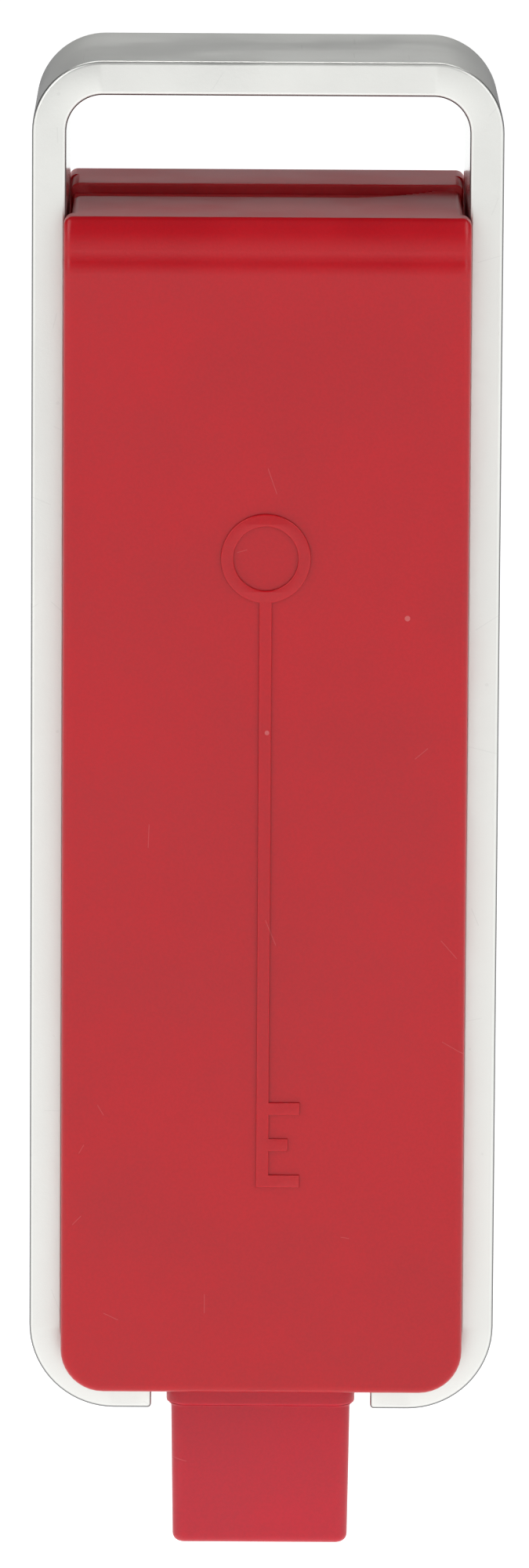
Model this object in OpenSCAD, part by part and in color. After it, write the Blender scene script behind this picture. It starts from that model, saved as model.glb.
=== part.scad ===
// Key fob for an electronic locker: a front shell and a rear cover held in a bent
// metal band with a key-ring loop, and a contact nose that is pushed into the lock.
// +Z runs up the length to the loop, -Y is the front face, +X is to the right.
// The origin is where a key ring bears on the inside of the loop.

/* [Band] */
// Width of the band, left to right
band_w = 24; // [23:0.5:26]
// Length of the band, loop to hooks
band_len = 70; // [68:0.5:74]
// Depth of the band's strip, front to back
band_d = 14.4; // [14:0.1:14.8]
// Thickness of the band's strip
band_t = 1.75; // [1.6:0.05:1.8]
// Outer radius of the two bends at the loop
loop_r = 3.6; // [3:0.1:4.5]
// Outer radius of the two bends at the hooks
hook_r = 4.4; // [4:0.1:5]
// Gap between the two hook ends
hook_gap = 11.35; // [11:0.05:12]
// Height of the key-ring opening
ring_gap = 6; // [5.5:0.1:7]

/* [Body] */
// Width of the flanges in front of and behind the band
body_w = 20.7; // [20.6:0.1:21.5]
// How far the front face stands out before the band
front_out = 2; // [1.8:0.05:2.2]
// Whole depth of the body, front to back
body_d = 19.5; // [19:0.1:19.8]
// Depth of the front shell
front_d = 12.5; // [12.3:0.1:12.7]
// Height of band left showing below the flanges
hook_show = 1.25; // [1:0.05:1.5]
// Corner radius of the flanges at the bottom
flange_r = 2.2; // [1.8:0.1:2.6]
// Wall thickness of the two shells
wall = 1.3; // [1.2:0.05:1.4]
// Height that the rear cover's top stands above the front shell's
cover_step = 0.32; // [0.1:0.02:0.4]
// Depth of the nail groove
groove_dip = 0.22; // [0.1:0.02:0.4]
// Drop of the ledge that crosses the front face near its top
ledge_drop = 0.13; // [0.07:0.02:0.21]

/* [Emblem] */
// Length of the raised key sign
emblem_len = 35; // [28:0.5:38]
// Width of its strokes
emblem_line = 0.65; // [0.5:0.05:0.9]
// Height of the sign above the face
emblem_rise = 0.15; // [0.1:0.05:0.25]

/* [Nose] */
// Width of the contact nose at its root
nose_w = 9.3; // [9:0.1:9.5]
// Depth of the contact nose, front to back
nose_d = 7.4; // [7:0.1:7.6]
// Length of the nose below its collar
nose_len = 7.45; // [7:0.05:8]
// Spacing of the three contact pins
pin_pitch = 2.6; // [2.4:0.1:2.8]
// Travel of a pin
pin_travel = 0.6; // [0.4:0.05:0.7]

/* [Battery] */
// Diameter of the battery
cell_d = 12.9; // [12.6:0.1:13]
// Length of the battery's can
cell_len = 25.1; // [24.9:0.1:25.2]

/* [Hidden] */

$fn = 64;
over = 1;                            // how far a cut runs past what it cuts
fit = 0.05;                          // gap between fixed pieces that meet

// Heights along Z
band_bottom = band_t - band_len;
body_top = -ring_gap;
body_bottom = band_bottom + hook_show;
core_bottom = band_bottom + band_t + 0.1;
cavity_top = body_top - wall;
cavity_bottom = core_bottom + wall;

// Places along Y
front_y = -band_d / 2 - front_out;
rear_y = front_y + body_d;
split_y = front_y + front_d;
flange_y = band_d / 2 + fit;
front_in_y = front_y + 1.4;
rear_in_y = rear_y - wall;

// Widths along X
band_in = band_w - 2 * band_t;
front_core_w = band_in - 0.5;
rear_core_w = band_in - 0.2;
front_cavity_w = front_core_w - 2 * wall;
rear_cavity_w = rear_core_w - 2 * (wall - 0.1);
core_r = hook_r - band_t - 0.1;
edge = 0.4;                          // rounding of the shells' outer edges

// Front face near the top edge
brow = 1.5;                          // height of the soft top edge
brow_in = 0.48;                      // how far that edge falls back
lean = 0.06;                         // slope of the zone above the ledge
ledge_at = 1.68;                     // start of the ledge below the top
ledge_turn = 2.3;                    // where the ledge is steepest
ledge_end = 2.9;                     // end of the ledge

// Nail groove
groove_d = 3.2;
groove_turn = 3.9;                   // where its front edge starts to curve back
groove_end = 8.6;                    // where that edge meets the parting line

// Nose
nose_y = -1.4;
collar_w = 9.8;
collar_d = 8;
collar_r = 1.2;
collar_bottom = body_bottom - 1.55;
nose_end = collar_bottom - nose_len;
nose_flange_w = 12.6;
nose_flange_d = 9.2;
nose_flange_h = 1.2;
seal_h = 0.6;
nose_flange_z = cavity_bottom + seal_h;
nose_flange_top = nose_flange_z + nose_flange_h;

// Contact pins
barrel_r = 0.8;
barrel_top = body_bottom + 0.1;
barrel_end = nose_end + 0.3;
barrel_bore = 0.55;
barrel_lip = 0.4;                    // length of the narrow mouth
barrel_roof = 1;
mouth_r = 0.43;
tip_r = 0.38;
tip_spare = 0.1;                     // length of tip still out when a pin is pushed home
head_r = 0.5;
head_len = 2.3;
tail_r = 0.3;
tail_bend_z = -60;
pin_x = [-pin_pitch, 0, pin_pitch];

// Battery and its contacts
cell_r = cell_d / 2;
cell_y = 1.2;
cell_top = body_top - 3.3;
cell_bottom = cell_top - cell_len;
cell_nub_r = 2.6;
cell_nub_h = 0.4;
strip_t = 0.3;
plate_z = -37.2;                     // upper face of the wall under the battery spring

// Frame
frame_w = front_cavity_w - 0.4;
frame_front = -6.6;
frame_deck = 2.4;
deck_t = 1.2;
chamber_w = 15;
chamber_top = plate_z - 1.2;
frame_bottom = nose_flange_top + 0.1;
leg_z = [-20, -50];
leg_w = 3;
leg_y = 0.9;
leg_x = front_cavity_w / 2 - 0.1;
leg_t = 0.7;

// Board and screws
board_y = -6.7;                      // the board's rear face, where its parts stand
board_t = 0.8;
board_w = 16.6;
board_top = -8;
board_bottom = -62.3;
screw_x = 6.1;
screw_z = [-41.5, -59.5];
boss_r = 1.7;
boss_end = -2;
screw_r = 0.8;
screw_head_r = 1.4;
screw_head_h = 0.9;
screw_tip = -6.2;

// A flat outline in X and Z, rounded by rb at the bottom and rt at the top.
module outline(w, z0, z1, rb, rt) {
    translate([-w / 2, z0 + rb]) square([w, z1 - z0 - rb - rt]);
    translate([-w / 2 + rb, z0]) square([w - 2 * rb, rb + 0.01]);
    translate([-w / 2 + rt, z1 - rt - 0.01]) square([w - 2 * rt, rt + 0.01]);
    for (s = [-1, 1]) {
        translate([s * (w / 2 - rb), z0 + rb]) circle(rb);
        translate([s * (w / 2 - rt), z1 - rt]) circle(rt);
    }
}

// That outline as a plate from y0 back to y1.
module plate(w, z0, z1, rb, rt, y0, y1) {
    translate([0, y1, 0]) rotate([90, 0, 0]) linear_extrude(y1 - y0) outline(w, z0, z1, rb, rt);
}

// A block centred on X, given by its Y and Z limits.
module slab(w, y0, y1, z0, z1) {
    translate([-w / 2, y0, z0]) cube([w, y1 - y0, z1 - z0]);
}

// An upright prism centred on x and y with rounded corners.
module post(w, d, r, z0, z1, x = 0, y = 0) {
    translate([x, y, z0]) linear_extrude(z1 - z0) {
        square([w - 2 * r, d], center = true);
        square([w, d - 2 * r], center = true);
        for (sx = [-1, 1], sy = [-1, 1]) {
            translate([sx * (w / 2 - r), sy * (d / 2 - r)]) circle(r, $fn = 32);
        }
    }
}

// A cylinder that runs back along Y.
module rod_y(r, y0, y1, x, z) {
    translate([x, y0, z]) rotate([-90, 0, 0]) cylinder(r = r, h = y1 - y0);
}

// A flange with its outer edge broken, face at y0 and its back at y1.
module flange(z1, y0, y1) {
    cut = edge * sign(y1 - y0);
    hull() {
        plate(body_w, body_bottom, z1, flange_r, edge, min(y0 + cut, y1), max(y0 + cut, y1), $fn = 32);
        plate(body_w - 2 * edge, body_bottom + edge, z1 - edge, flange_r - edge, edge / 2,
            min(y0, y0 + cut), max(y0, y0 + cut), $fn = 32);
    }
}

// How far the front face lies behind its flat part, at drop below the top edge.
function brow_back(drop) = drop >= brow ? 0 : brow_in * (1 - sqrt(1 - pow(1 - drop / brow, 2)));
function ledge_gone(drop) = drop < ledge_turn ?
    pow(drop - ledge_at, 2) / ((ledge_turn - ledge_at) * (ledge_end - ledge_at)) :
    1 - pow(ledge_end - drop, 2) / ((ledge_end - ledge_turn) * (ledge_end - ledge_at));
function ledge_back(drop) = drop <= ledge_at ? ledge_drop + lean * (ledge_at - drop) :
    drop >= ledge_end ? 0 : ledge_drop * (1 - ledge_gone(drop));
function face_back(drop) = brow_back(drop) + ledge_back(drop);

// What the soft top edge and the ledge take off the front face.
module brow_cut() {
    steps = 22;
    curve = [for (i = [0 : steps]) [front_y + face_back(ledge_end * i / steps), body_top - ledge_end * i / steps]];
    ends = [[front_y - over, body_top - ledge_end], [front_y - over, body_top + over],
        [front_y + face_back(0), body_top + over]];
    translate([-body_w / 2 - over, 0, 0])
        rotate([90, 0, 90]) linear_extrude(body_w + 2 * over) polygon(concat(curve, ends));
}

// Shallow step across the top, at the back edge of the front shell, that runs out to the right.
module nail_groove() {
    steps = 12;
    run_out = [for (i = [0 : steps]) let (share = i / steps)
        [groove_turn + (groove_end - groove_turn) * share, split_y - groove_d * (1 - share * share)]];
    back = [[groove_end, split_y + over], [-body_w, split_y + over], [-body_w, split_y - groove_d]];
    translate([0, 0, body_top - groove_dip]) linear_extrude(groove_dip + over) polygon(concat(run_out, back));
}

// The four places where the frame is screwed to the front shell.
module at_screws() {
    for (s = [-1, 1], z = screw_z) {
        translate([s * screw_x, 0, z]) children();
    }
}

// Raised sign of a plain key, standing on the front face.
module emblem() {
    top = body_top - 15.1;
    bow_r = 2.3;
    stem_top = top - 2 * bow_r + emblem_line;
    stem_bottom = top - emblem_len;
    translate([0, front_y + 0.2, 0]) rotate([90, 0, 0]) linear_extrude(0.2 + emblem_rise) {
        translate([0, top - bow_r]) difference() {
            circle(bow_r);
            circle(bow_r - emblem_line);
        }
        translate([-emblem_line / 2, stem_bottom]) square([emblem_line, stem_top - stem_bottom]);
        for (tooth = [[0, 1.9], [1.9, 1.3], [3.8, 1.9]]) {
            translate([0, stem_bottom + tooth[0]]) square([tooth[1], emblem_line]);
        }
    }
}

module front_shell() {
    color([0.72, 0.21, 0.24]) {
        difference() {
            union() {
                flange(body_top, front_y, -flange_y);
                plate(front_core_w, core_bottom, body_top, core_r, edge, -flange_y - 0.01, split_y);
            }
            brow_cut();
            nail_groove();
            slab(front_cavity_w, front_in_y, split_y + over, cavity_bottom, cavity_top);
            post(collar_w + 0.1, collar_d + 0.1, collar_r, core_bottom - over, cavity_bottom + over, 0, nose_y);
        }
        emblem();
        difference() {
            union() {
                at_screws() rod_y(boss_r, front_in_y - 0.1, boss_end, 0, 0);
                at_screws() rod_y(boss_r + 0.7, front_in_y - 0.1, board_y - board_t - 0.02, 0, 0);
            }
            at_screws() rod_y(screw_r + 0.02, screw_tip - 0.4, boss_end + over, 0, 0);
        }
    }
}

// One straight snap leg of the rear cover, on the side given by its sign.
module cover_leg(side, z) {
    inner = leg_x - leg_t;
    tip = [[inner, leg_y], [leg_x - 0.25, leg_y], [leg_x, leg_y + 0.5], [leg_x, 3.7],
        [rear_cavity_w / 2 + 0.1, 3.9], [rear_cavity_w / 2 + 0.1, 5.6], [inner, 4.6]];
    scale_x = side > 0 ? 0 : 1;
    translate([0, 0, z - leg_w / 2]) mirror([scale_x, 0, 0]) linear_extrude(leg_w) polygon(tip);
}

module rear_cover() {
    top = body_top + cover_step;
    color([0.72, 0.21, 0.24]) {
        difference() {
            union() {
                flange(top, rear_y, flange_y);
                plate(rear_core_w, core_bottom, top, core_r, edge, split_y + fit, flange_y + 0.01);
            }
            slab(rear_cavity_w, split_y - over, rear_in_y, cavity_bottom, top - wall);
        }
        for (side = [-1, 1], z = leg_z) {
            cover_leg(side, z);
        }
    }
}

module key_band() {
    color([0.88, 0.88, 0.86]) difference() {
        plate(band_w, band_bottom, band_t, hook_r, loop_r, -band_d / 2, band_d / 2);
        plate(band_in, band_bottom + band_t, 0, hook_r - band_t, loop_r - band_t,
            -band_d / 2 - over, band_d / 2 + over);
        slab(hook_gap, -band_d, band_d, band_bottom - over, band_bottom + band_t + over);
    }
}

module contact_nose() {
    color([0.75, 0.25, 0.29]) difference() {
        union() {
            hull() {
                post(nose_w, nose_d, 0.5, collar_bottom, collar_bottom + 0.5, 0, nose_y);
                post(nose_w - 0.2, nose_d - 0.2, 0.5, nose_end + 0.35, nose_end + 0.4, 0, nose_y);
                post(nose_w - 0.9, nose_d - 0.9, 0.3, nose_end, nose_end + 0.1, 0, nose_y);
            }
            hull() {
                post(collar_w, collar_d, collar_r, collar_bottom + 0.35, nose_flange_z + 0.1, 0, nose_y);
                post(nose_w + 0.1, nose_d + 0.1, 0.9, collar_bottom, collar_bottom + 0.1, 0, nose_y);
            }
            post(nose_flange_w, nose_flange_d, collar_r, nose_flange_z, nose_flange_top, 0, nose_y);
        }
        for (x = pin_x) {
            translate([x, nose_y, nose_end - over]) cylinder(r = barrel_r + 0.01, h = barrel_top - nose_end + over);
            translate([x, nose_y, barrel_top - 0.1]) cylinder(r = tail_r + fit, h = 10);
        }
    }
}

module nose_seal() {
    color([0.1, 0.1, 0.1]) difference() {
        post(nose_flange_w, nose_flange_d, collar_r, cavity_bottom + 0.02, nose_flange_z - 0.02, 0, nose_y);
        post(collar_w + 0.15, collar_d + 0.15, collar_r, cavity_bottom - over, nose_flange_z + over, 0, nose_y);
    }
}

module inner_frame() {
    bay_top = cavity_top - 0.15;
    deck_z = bay_top - 1.05;
    color([0.13, 0.13, 0.14]) difference() {
        union() {
            slab(frame_w, frame_front, frame_deck, frame_bottom, plate_z);
            slab(frame_w, frame_front, cell_y, plate_z - 0.1, bay_top);
            slab(12, frame_front, rear_in_y - 1.4, chamber_top, plate_z);
            slab(12, frame_front, rear_in_y - 1.4, deck_z, bay_top);
        }
        // Battery bay
        translate([0, cell_y, plate_z]) cylinder(r = cell_r + 0.15, h = deck_z - plate_z);
        slab(5.4, frame_front - over, -3, deck_z - 0.5, deck_z);
        slab(3.4, frame_front - over, -2, plate_z, plate_z + 0.5);
        // Electronics chamber, open towards the board, round its four screw posts
        difference() {
            slab(chamber_w, frame_front - over, frame_deck - deck_t, frame_bottom + 1, chamber_top);
            at_screws() rod_y(boss_r, boss_end + fit, frame_deck, 0, 0);
        }
        at_screws() rod_y(boss_r + 0.15, frame_front - over, boss_end + fit, 0, 0);
        at_screws() rod_y(screw_r + 0.1, boss_end - over, frame_deck + over, 0, 0);
        slab(8.4, nose_y - 1.4, frame_deck - deck_t, frame_bottom - over, frame_bottom + 1 + over);
        // Pockets for the rear cover's legs
        for (side = [-1, 1], z = leg_z) {
            translate([side * (leg_x + 0.1) - 1, leg_y - 0.3, z - leg_w / 2 - 0.3]) cube([2, 4, leg_w + 0.6]);
        }
    }
}

module frame_screws() {
    color([0.62, 0.62, 0.64]) at_screws() difference() {
        union() {
            rod_y(screw_r, screw_tip, frame_deck + 0.1, 0, 0);
            rod_y(screw_head_r, frame_deck + 0.02, frame_deck + screw_head_h, 0, 0);
        }
        for (turn = [0, 90]) {
            translate([0, frame_deck + screw_head_h, 0]) rotate([0, turn, 0]) cube([1.5, 0.9, 0.35], center = true);
        }
    }
}

module circuit_board() {
    color([0.05, 0.35, 0.18]) difference() {
        plate(board_w, board_bottom, board_top, 0.6, 0.6, board_y - board_t, board_y);
        at_screws() rod_y(boss_r + 0.1, board_y - board_t - over, board_y + over, 0, 0);
        for (x = pin_x) {
            rod_y(tail_r + fit, board_y - board_t - over, board_y + over, x, tail_bend_z);
        }
    }
}

// Moves something drawn flat, with its height along +Z, onto the board at x and z.
module on_board(x, z) {
    translate([x, board_y + 0.01, z]) rotate([-90, 0, 0]) children();
}

// A chip with flat leads along the two sides that face X.
module chip(w, l, h, leads, pitch, lead_w) {
    lift = 0.15;
    translate([-w / 2, -l / 2, lift]) cube([w, l, h - lift]);
    for (s = [-1, 1], i = [0 : leads - 1]) {
        y = (i - (leads - 1) / 2) * pitch;
        translate([s * (w / 2 + 0.15), y, h / 2 - 0.1]) cube([0.5, lead_w, 0.15], center = true);
        translate([s * (w / 2 + 0.35), y, h / 4]) cube([0.15, lead_w, h / 2], center = true);
        translate([s * (w / 2 + 0.55), y, 0.075]) cube([0.5, lead_w, 0.15], center = true);
    }
}

module controller_chip() {
    color([0.09, 0.09, 0.1]) on_board(0, -51) union() {
        chip(7, 7, 1.3, 8, 0.8, 0.35);
        rotate([0, 0, 90]) chip(7, 7, 1.3, 8, 0.8, 0.35);
    }
}

module memory_chip() {
    color([0.09, 0.09, 0.1]) on_board(0, -43.6) chip(4, 4.9, 1.4, 4, 1.1, 0.4);
}

module regulator_chip() {
    color([0.09, 0.09, 0.1]) on_board(5.8, -46.6) chip(1.6, 2.9, 1.1, 2, 1.9, 0.4);
}

module power_coil() {
    color([0.2, 0.2, 0.21]) on_board(-5.3, -45.6) {
        cylinder(r = 2, h = 0.5);
        cylinder(r = 1.5, h = 1.9);
        translate([0, 0, 1.5]) cylinder(r = 2, h = 0.5);
    }
}

module chip_capacitors() {
    places = [[-6.2, -50.5], [-6.2, -53], [-6.2, -55.5], [6.2, -50.5], [6.2, -53], [6.2, -55.5]];
    color([0.7, 0.6, 0.45]) for (p = places) {
        on_board(p[0], p[1]) translate([-1, -0.6, 0]) cube([2, 1.2, 1]);
    }
}

module chip_resistors() {
    color([0.12, 0.12, 0.13]) for (i = [0 : 3], side = [-1, 1]) {
        on_board(side * (4.2 - i * 0.9), -57.2) translate([-0.3, -0.6, 0]) cube([0.6, 1.2, 0.4]);
    }
}

module timing_crystal() {
    can_r = 1;
    can_l = 4.6;
    lead_r = 0.15;
    color([0.8, 0.8, 0.8]) on_board(0, -39.7) {
        translate([-can_l / 2, 0, can_r + 0.05]) rotate([0, 90, 0]) cylinder(r = can_r, h = can_l);
        for (s = [-1, 1]) {
            translate([-can_l / 2 - 1, s * 0.45, 0]) {
                translate([0, 0, can_r]) rotate([0, 90, 0]) cylinder(r = lead_r, h = 1.1);
                cylinder(r = lead_r, h = can_r);
                translate([0, 0, can_r]) sphere(lead_r + 0.03, $fn = 24);
            }
        }
    }
}

module battery() {
    crimp_z = cell_top - 1.6;
    profile = [[0, cell_bottom], [cell_r - 0.4, cell_bottom], [cell_r, cell_bottom + 0.4],
        [cell_r, crimp_z - 0.5], [cell_r - 0.35, crimp_z], [cell_r, crimp_z + 0.5], [cell_r, cell_top - 0.4],
        [cell_r - 0.4, cell_top], [cell_nub_r, cell_top], [cell_nub_r, cell_top + cell_nub_h], [0, cell_top + cell_nub_h]];
    color([0.3, 0.32, 0.36]) translate([0, cell_y, 0]) rotate_extrude() polygon(profile);
}

module positive_contact() {
    z = cell_top + cell_nub_h + 0.02;
    color([0.85, 0.82, 0.7]) slab(5, board_y + 0.02, cell_y + 3, z, z + strip_t);
}

module negative_plate() {
    z = plate_z + 0.02;
    color([0.85, 0.82, 0.7]) {
        translate([0, cell_y, z]) cylinder(r = 4, h = strip_t);
        slab(3, board_y + 0.02, cell_y - 3, z, z + strip_t);
    }
}

// Points of a wire ring number i of a coil whose radius runs from r0 to r1.
function coil_point(t, turns, r0, r1, z0, z1) =
    [(r0 + (r1 - r0) * t) * cos(360 * turns * t), (r0 + (r1 - r0) * t) * sin(360 * turns * t), z0 + (z1 - z0) * t];
function coil_ring(t, turns, r0, r1, z0, z1, wire, sides) =
    let (p = coil_point(t, turns, r0, r1, z0, z1), a = 360 * turns * t)
    [for (k = [0 : sides - 1]) let (b = 360 * k / sides)
        p + wire * [cos(b) * cos(a), cos(b) * sin(a), sin(b)]];

// A coil spring as one closed tube.
module coil(turns, r0, r1, z0, z1, wire, per_turn, sides) {
    rings = ceil(turns * per_turn);
    points = [for (i = [0 : rings]) each coil_ring(i / rings, turns, r0, r1, z0, z1, wire, sides)];
    skin = [for (i = [0 : rings - 1], k = [0 : sides - 1]) let (n = (k + 1) % sides)
        [i * sides + k, (i + 1) * sides + k, (i + 1) * sides + n, i * sides + n]];
    caps = [[for (k = [0 : sides - 1]) k], [for (k = [sides - 1 : -1 : 0]) rings * sides + k]];
    polyhedron(points = points, faces = concat(skin, caps), convexity = 8);
}

module negative_spring() {
    wire = 0.3;
    low = plate_z + 0.02 + strip_t + 0.02 + wire;
    color([0.8, 0.8, 0.82]) translate([0, cell_y, 0])
        coil(3.5, 3.3, 2, low, cell_bottom - 0.02 - wire, wire, 18, 8);
}

module pin_barrel(x) {
    color([0.85, 0.7, 0.35]) {
        translate([x, nose_y, 0]) difference() {
            translate([0, 0, barrel_end]) cylinder(r = barrel_r, h = barrel_top - barrel_end);
            translate([0, 0, barrel_end + barrel_lip])
                cylinder(r = barrel_bore, h = barrel_top - barrel_roof - barrel_end - barrel_lip);
            translate([0, 0, barrel_end - over]) cylinder(r = mouth_r, h = barrel_lip + 2 * over);
        }
        translate([x, nose_y, barrel_top - 0.1]) cylinder(r = tail_r, h = tail_bend_z - barrel_top + 0.1, $fn = 24);
        translate([x, nose_y, tail_bend_z]) sphere(tail_r + 0.05, $fn = 24);
        translate([x, board_y - board_t, tail_bend_z])
            rotate([-90, 0, 0]) cylinder(r = tail_r, h = nose_y - board_y + board_t, $fn = 24);
    }
}

head_bottom = barrel_end + barrel_lip + 0.02;
head_top = head_bottom + head_len;

module pin_spring(x) {
    wire = 0.09;
    color([0.8, 0.8, 0.82]) translate([x, nose_y, 0])
        coil(9, 0.38, 0.38, head_top + 0.02 + wire, barrel_top - barrel_roof - 0.02 - wire, wire, 12, 5);
}

module pin_plunger(x) {
    tip_z = nose_end - pin_travel - tip_spare;
    color([0.85, 0.7, 0.35]) translate([x, nose_y, 0]) rotate_extrude($fn = 32) difference() {
        union() {
            translate([0, head_bottom]) square([head_r, head_len]);
            translate([0, tip_z + tip_r]) square([tip_r, head_bottom - tip_z - tip_r + 0.1]);
            translate([0, tip_z + tip_r]) circle(tip_r, $fn = 32);
        }
        translate([-over, tip_z - over]) square([over, head_top - tip_z + 2 * over]);
    }
}

front_shell();
rear_cover();
key_band();
contact_nose();
nose_seal();
inner_frame();
frame_screws();
circuit_board();
controller_chip();
memory_chip();
regulator_chip();
power_coil();
chip_capacitors();
chip_resistors();
timing_crystal();
battery();
positive_contact();
negative_plate();
negative_spring();
pin_barrel(pin_x[0]);  // pin_barrel_left
pin_barrel(pin_x[1]);  // pin_barrel_centre
pin_barrel(pin_x[2]);  // pin_barrel_right
pin_spring(pin_x[0]);  // pin_spring_left
pin_spring(pin_x[1]);  // pin_spring_centre
pin_spring(pin_x[2]);  // pin_spring_right
pin_plunger(pin_x[0]);  // pin_plunger_left
pin_plunger(pin_x[1]);  // pin_plunger_centre
pin_plunger(pin_x[2]);  // pin_plunger_right
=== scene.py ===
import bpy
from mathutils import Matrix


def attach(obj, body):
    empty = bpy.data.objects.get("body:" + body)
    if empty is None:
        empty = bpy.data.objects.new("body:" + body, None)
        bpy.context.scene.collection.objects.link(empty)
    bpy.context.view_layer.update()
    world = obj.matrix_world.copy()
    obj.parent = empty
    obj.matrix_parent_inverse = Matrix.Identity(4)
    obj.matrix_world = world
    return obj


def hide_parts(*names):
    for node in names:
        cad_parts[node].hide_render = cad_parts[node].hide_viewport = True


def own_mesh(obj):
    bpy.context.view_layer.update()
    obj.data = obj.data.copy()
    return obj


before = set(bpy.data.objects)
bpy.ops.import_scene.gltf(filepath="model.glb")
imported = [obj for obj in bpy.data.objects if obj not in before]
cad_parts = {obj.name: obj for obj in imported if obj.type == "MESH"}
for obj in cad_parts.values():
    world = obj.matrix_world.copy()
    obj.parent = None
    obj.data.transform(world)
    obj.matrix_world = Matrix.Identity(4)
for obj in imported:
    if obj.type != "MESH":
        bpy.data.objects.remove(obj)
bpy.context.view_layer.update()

import logging
import math
from collections.abc import Callable, Iterable, Sequence
from dataclasses import dataclass, field
from enum import Enum

import bmesh
import bpy
from mathutils import Matrix, Vector

log = logging.getLogger("locker_key")

MM = 0.001                       # sizes below are in millimetres unless a name says otherwise
HOUSING = "housing"
COVER = "rear_cover"
Point = tuple[float, float, float]
Flat = tuple[float, float]
Colour = tuple[float, float, float]
Node = bpy.types.Node
Socket = bpy.types.NodeSocket
Material = bpy.types.Material
Piece = bpy.types.Object


class Slot(Enum):
    """The record's material slots."""

    SHELL = "red_shell"
    NOSE = "red_nose"
    BAND = "satin_metal"
    SEAL = "black_rubber"
    FRAME = "black_plastic"
    SCREW = "zinc_steel"
    BOARD = "green_board"
    CHIP = "chip_black"
    COIL = "ferrite"
    CAPACITOR = "capacitor_ceramic"
    RESISTOR = "resistor_ceramic"
    CAN = "bright_can"
    CELL = "battery_wrap"
    STRIP = "nickel_strip"
    SPRING = "spring_steel"
    PIN = "gold_brass"


# ---- Mesh tools ----

def ramp(count: int, low: float = 0.0, high: float = 1.0) -> list[float]:
    """Evenly spaced values, both ends included."""
    return [low + (high - low) * i / count for i in range(count + 1)]


def quarter(radius: float, steps: int) -> list[Flat]:
    """Steps of a quarter-round edge.

    Args:
        radius: radius of the edge.
        steps: number of steps after the first point.

    Returns:
        (how far out, how far down) pairs, from (0, 0) to (radius, radius).
    """
    turns = ramp(steps, 0.0, math.pi / 2)
    return [(radius * math.sin(a), radius * (1 - math.cos(a))) for a in turns]


def link(obj: Piece) -> None:
    """Puts an object in the scene."""
    bpy.context.scene.collection.objects.link(obj)


def clean(mesh: bpy.types.Mesh, merge_mm: float) -> None:
    """Merges points closer than merge_mm and turns every face outwards."""
    work = bmesh.new()
    work.from_mesh(mesh)
    bmesh.ops.remove_doubles(work, verts=work.verts, dist=merge_mm * MM)
    bmesh.ops.recalc_face_normals(work, faces=work.faces)
    work.to_mesh(mesh)
    work.free()


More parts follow.
